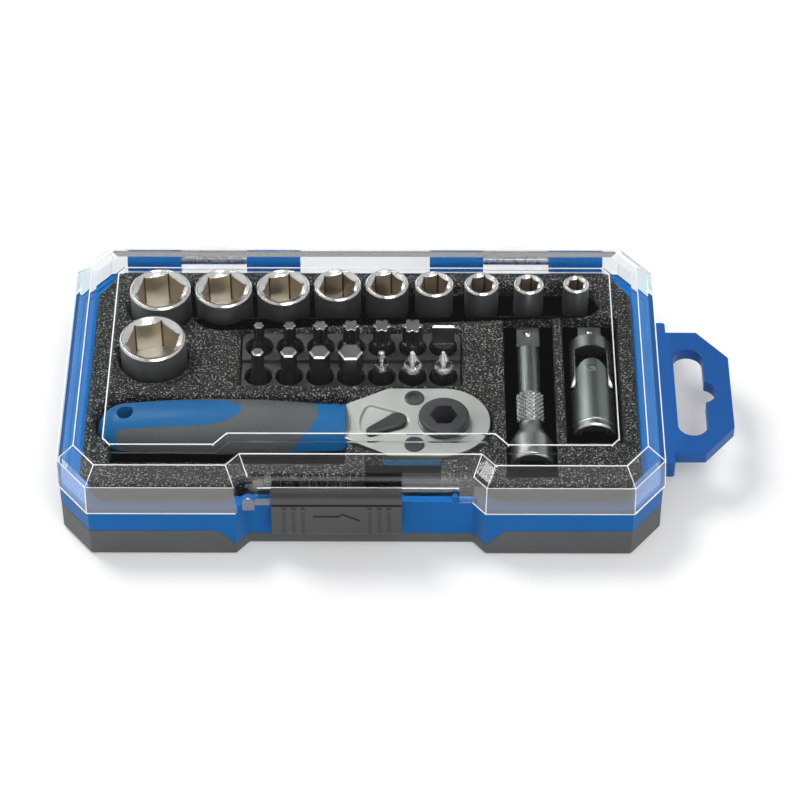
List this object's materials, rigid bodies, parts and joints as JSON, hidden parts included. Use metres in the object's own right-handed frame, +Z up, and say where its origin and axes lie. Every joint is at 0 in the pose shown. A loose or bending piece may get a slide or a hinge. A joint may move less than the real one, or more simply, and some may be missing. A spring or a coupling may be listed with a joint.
{
  "type": "socket wrench set in case",
  "caption": "Hinged case with a clear lid, sliding latch and hang tab, holding a ratchet, sockets, bits, an extension bar and a universal joint in a fitted tray.",
  "frame": {"origin": "under the middle of the case's floor, on the surface it lies on", "axes": "+X to the hang tab at the right, +Y to the hinges at the back, +Z up out of the lid"},
  "size_m": [0.1806, 0.0993, 0.0297],
  "materials": {
    "grey_shell": "fine grained grey moulding",
    "case_blue": "satin blue moulding",
    "clear_lid": "clear polished plastic",
    "pin_steel": "plain drawn steel",
    "latch_black": "satin black moulding",
    "tab_blue": "satin blue moulding",
    "tray_black": "leather grained black moulding",
    "holder_black": "smooth black moulding",
    "socket_chrome": "satin chrome plate",
    "bit_steel": "dark phosphated steel with bright tips",
    "bar_steel": "dark satin chrome",
    "joint_bright": "bright satin steel",
    "ball_steel": "polished steel ball",
    "head_satin": "pale satin chrome",
    "dark_metal": "dark grey coated metal",
    "handle_blue": "satin blue moulding",
    "grip_grey": "soft grey rubber"
  },
  "bodies": {
    "case_base": {"base_shell": "grey_shell", "base_frame": "case_blue", "hinge_pin_left": "pin_steel", "hinge_pin_right": "pin_steel", "tool_tray": "tray_black", "bit_holder": "holder_black", "socket_04mm": "socket_chrome", "socket_05mm": "socket_chrome", "socket_06mm": "socket_chrome", "socket_07mm": "socket_chrome", "socket_08mm": "socket_chrome", "socket_09mm": "socket_chrome", "socket_10mm": "socket_chrome", "socket_11mm": "socket_chrome", "socket_12mm": "socket_chrome", "socket_13mm": "socket_chrome", "bit_star_t10": "bit_steel", "bit_star_t15": "bit_steel", "bit_star_t20": "bit_steel", "bit_star_t25": "bit_steel", "bit_star_t27": "bit_steel", "bit_star_t30": "bit_steel", "bit_slot_6": "bit_steel", "bit_hex_3": "bit_steel", "bit_hex_4": "bit_steel", "bit_hex_5": "bit_steel", "bit_hex_6": "bit_steel", "bit_cross_1": "bit_steel", "bit_cross_2": "bit_steel", "bit_cross_3": "bit_steel", "extension_bar": "bar_steel", "joint_socket_fork": "bar_steel", "ratchet_head": "head_satin", "ratchet_cover": "head_satin", "cover_screws": "dark_metal", "pawl_spring": "pin_steel", "handle_core": "handle_blue", "handle_grip": "grip_grey"},
    "lid": {"lid": "clear_lid"},
    "latch": {"latch_slider": "latch_black"},
    "hang_tab": {"hang_tab": "tab_blue"},
    "drive_gear": {"drive_gear": "dark_metal"},
    "reversing_lever": {"reversing_lever": "dark_metal"},
    "pawl": {"ratchet_pawl": "dark_metal"},
    "joint_spider": {"joint_spider": "joint_bright"},
    "joint_drive": {"joint_drive_fork": "bar_steel"},
    "extension_ball": {"extension_ball": "ball_steel"},
    "joint_ball": {"joint_ball": "ball_steel"}
  },
  "joints": [
    {"name": "lid_hinge", "type": "hinge", "parent": "case_base", "child": "lid", "pos_m": [0, 0.0499, 0.0182], "axis": [-1, 0, 0], "range_deg": [0, 110]},
    {"name": "latch_slide", "type": "slide", "parent": "case_base", "child": "latch", "axis": [1, 0, 0], "range_m": [-0.004, 0.013]},
    {"name": "hang_tab_pull", "type": "slide", "parent": "case_base", "child": "hang_tab", "axis": [1, 0, 0], "range_m": [0, 0.014]},
    {"name": "ratchet_drive", "type": "hinge", "parent": "case_base", "child": "drive_gear", "pos_m": [0.02195, -0.0158, 0.015], "axis": [0, 0, 1], "continuous": true},
    {"name": "lever_swing", "type": "hinge", "parent": "case_base", "child": "reversing_lever", "pos_m": [0.00945, -0.0158, 0.015], "axis": [0, 0, 1], "range_deg": [-60, 0]},
    {"name": "pawl_rock", "type": "hinge", "parent": "case_base", "child": "pawl", "pos_m": [0.00945, -0.0158, 0.015], "axis": [0, 0, 1], "range_deg": [-15, 0]},
    {"name": "joint_yaw", "type": "hinge", "parent": "case_base", "child": "joint_spider", "pos_m": [0.06235, 0.0043, 0.0141], "axis": [0, 0, 1], "range_deg": [-4, 4]},
    {"name": "joint_pitch", "type": "hinge", "parent": "joint_spider", "child": "joint_drive", "pos_m": [0.06235, 0.0043, 0.0141], "axis": [1, 0, 0], "range_deg": [0, 25]},
    {"name": "extension_ball_press", "type": "slide", "parent": "case_base", "child": "extension_ball", "axis": [0, 0, -1], "range_m": [0, 0.0004], "stiffness_N_per_m": 400, "springref_m": -0.002},
    {"name": "joint_ball_press", "type": "slide", "parent": "joint_drive", "child": "joint_ball", "axis": [0, 0, -1], "range_m": [0, 0.0004], "stiffness_N_per_m": 400, "springref_m": -0.002}
  ],
  "couplings": [
    {"joint": "pawl_rock", "follows": "lever_swing", "ratio": 0.25}
  ]
}
